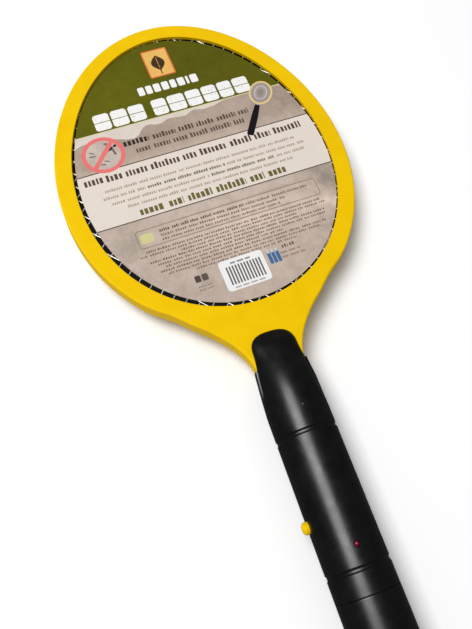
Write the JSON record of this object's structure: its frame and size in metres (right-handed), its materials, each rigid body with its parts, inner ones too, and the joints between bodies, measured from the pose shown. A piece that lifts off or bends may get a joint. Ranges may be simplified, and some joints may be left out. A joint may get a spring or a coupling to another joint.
{
  "type": "electric fly swatter",
  "caption": "Racket-shaped electric fly swatter with an oval wire-grid head, a printed card lying in the front recess, and a round battery handle with a side push button.",
  "frame": {"origin": "centre of the footprint at the level of the handle's lowest line, on the long axis, half way between the head's tip and the butt", "axes": "+Y along the handle axis towards the head's tip, +Z out of the front (card) side, +X across the head to the right seen from the front"},
  "size_m": [0.1814, 0.4579, 0.0345],
  "materials": {
    "yellow_plastic": "satin, bright yellow",
    "black_plastic": "satin black",
    "grid_wire": "bright wire",
    "black_insulator": "matt",
    "grey_insulator": "matt",
    "printed_card": "printed, coated",
    "zinc_steel": "zinc plated",
    "switch_plastic": "matt",
    "red_lens": "clear red",
    "board_laminate": "paper laminate",
    "copper_wire": "enamelled wire",
    "ferrite": "sintered",
    "capacitor_red": "dipped epoxy",
    "capacitor_blue": "dipped",
    "resistor_body": "lacquered",
    "cell_wrap": "plain shrink wrap",
    "nickel_steel": "nickel plated",
    "lead_red": "pvc insulation"
  },
  "bodies": {
    "racket": {"head_front_frame": "yellow_plastic", "head_back_frame": "yellow_plastic", "front_grid": "grid_wire", "middle_grid": "grid_wire", "back_grid": "grid_wire", "front_insulator": "black_insulator", "back_insulator": "black_insulator", "front_center_spacer": "grey_insulator", "back_center_spacer": "grey_insulator", "handle_front_shell": "black_plastic", "handle_back_shell": "black_plastic", "handle_screws": "zinc_steel", "tact_switch": "switch_plastic", "led": "red_lens", "circuit_board": "board_laminate", "board_screws": "zinc_steel", "transformer_bobbin": "switch_plastic", "transformer_winding": "copper_wire", "transformer_core": "ferrite", "storage_capacitor": "capacitor_red", "multiplier_capacitors": "capacitor_blue", "multiplier_diodes": "switch_plastic", "resistors": "resistor_body", "transistor": "switch_plastic", "battery_cell_a": "cell_wrap", "battery_cell_b": "cell_wrap", "battery_springs": "nickel_steel", "battery_contacts": "nickel_steel", "grid_leads": "lead_red", "battery_leads": "lead_red"},
    "button": {"push_button": "yellow_plastic", "switch_plunger": "switch_plastic"},
    "door": {"battery_door": "black_plastic"},
    "card": {"label_card": "printed_card"}
  },
  "joints": [
    {"name": "button_press", "type": "slide", "parent": "racket", "child": "button", "axis": [1, 0, 0], "range_m": [0, 0.001], "stiffness_N_per_m": 400, "springref_m": -0.002},
    {"name": "battery_door_slide", "type": "slide", "parent": "racket", "child": "door", "axis": [0, -1, 0], "range_m": [0, 0.085]},
    {"name": "card_lift", "type": "slide", "parent": "racket", "child": "card", "axis": [0, 0, 1], "range_m": [0, 0.03]}
  ]
}
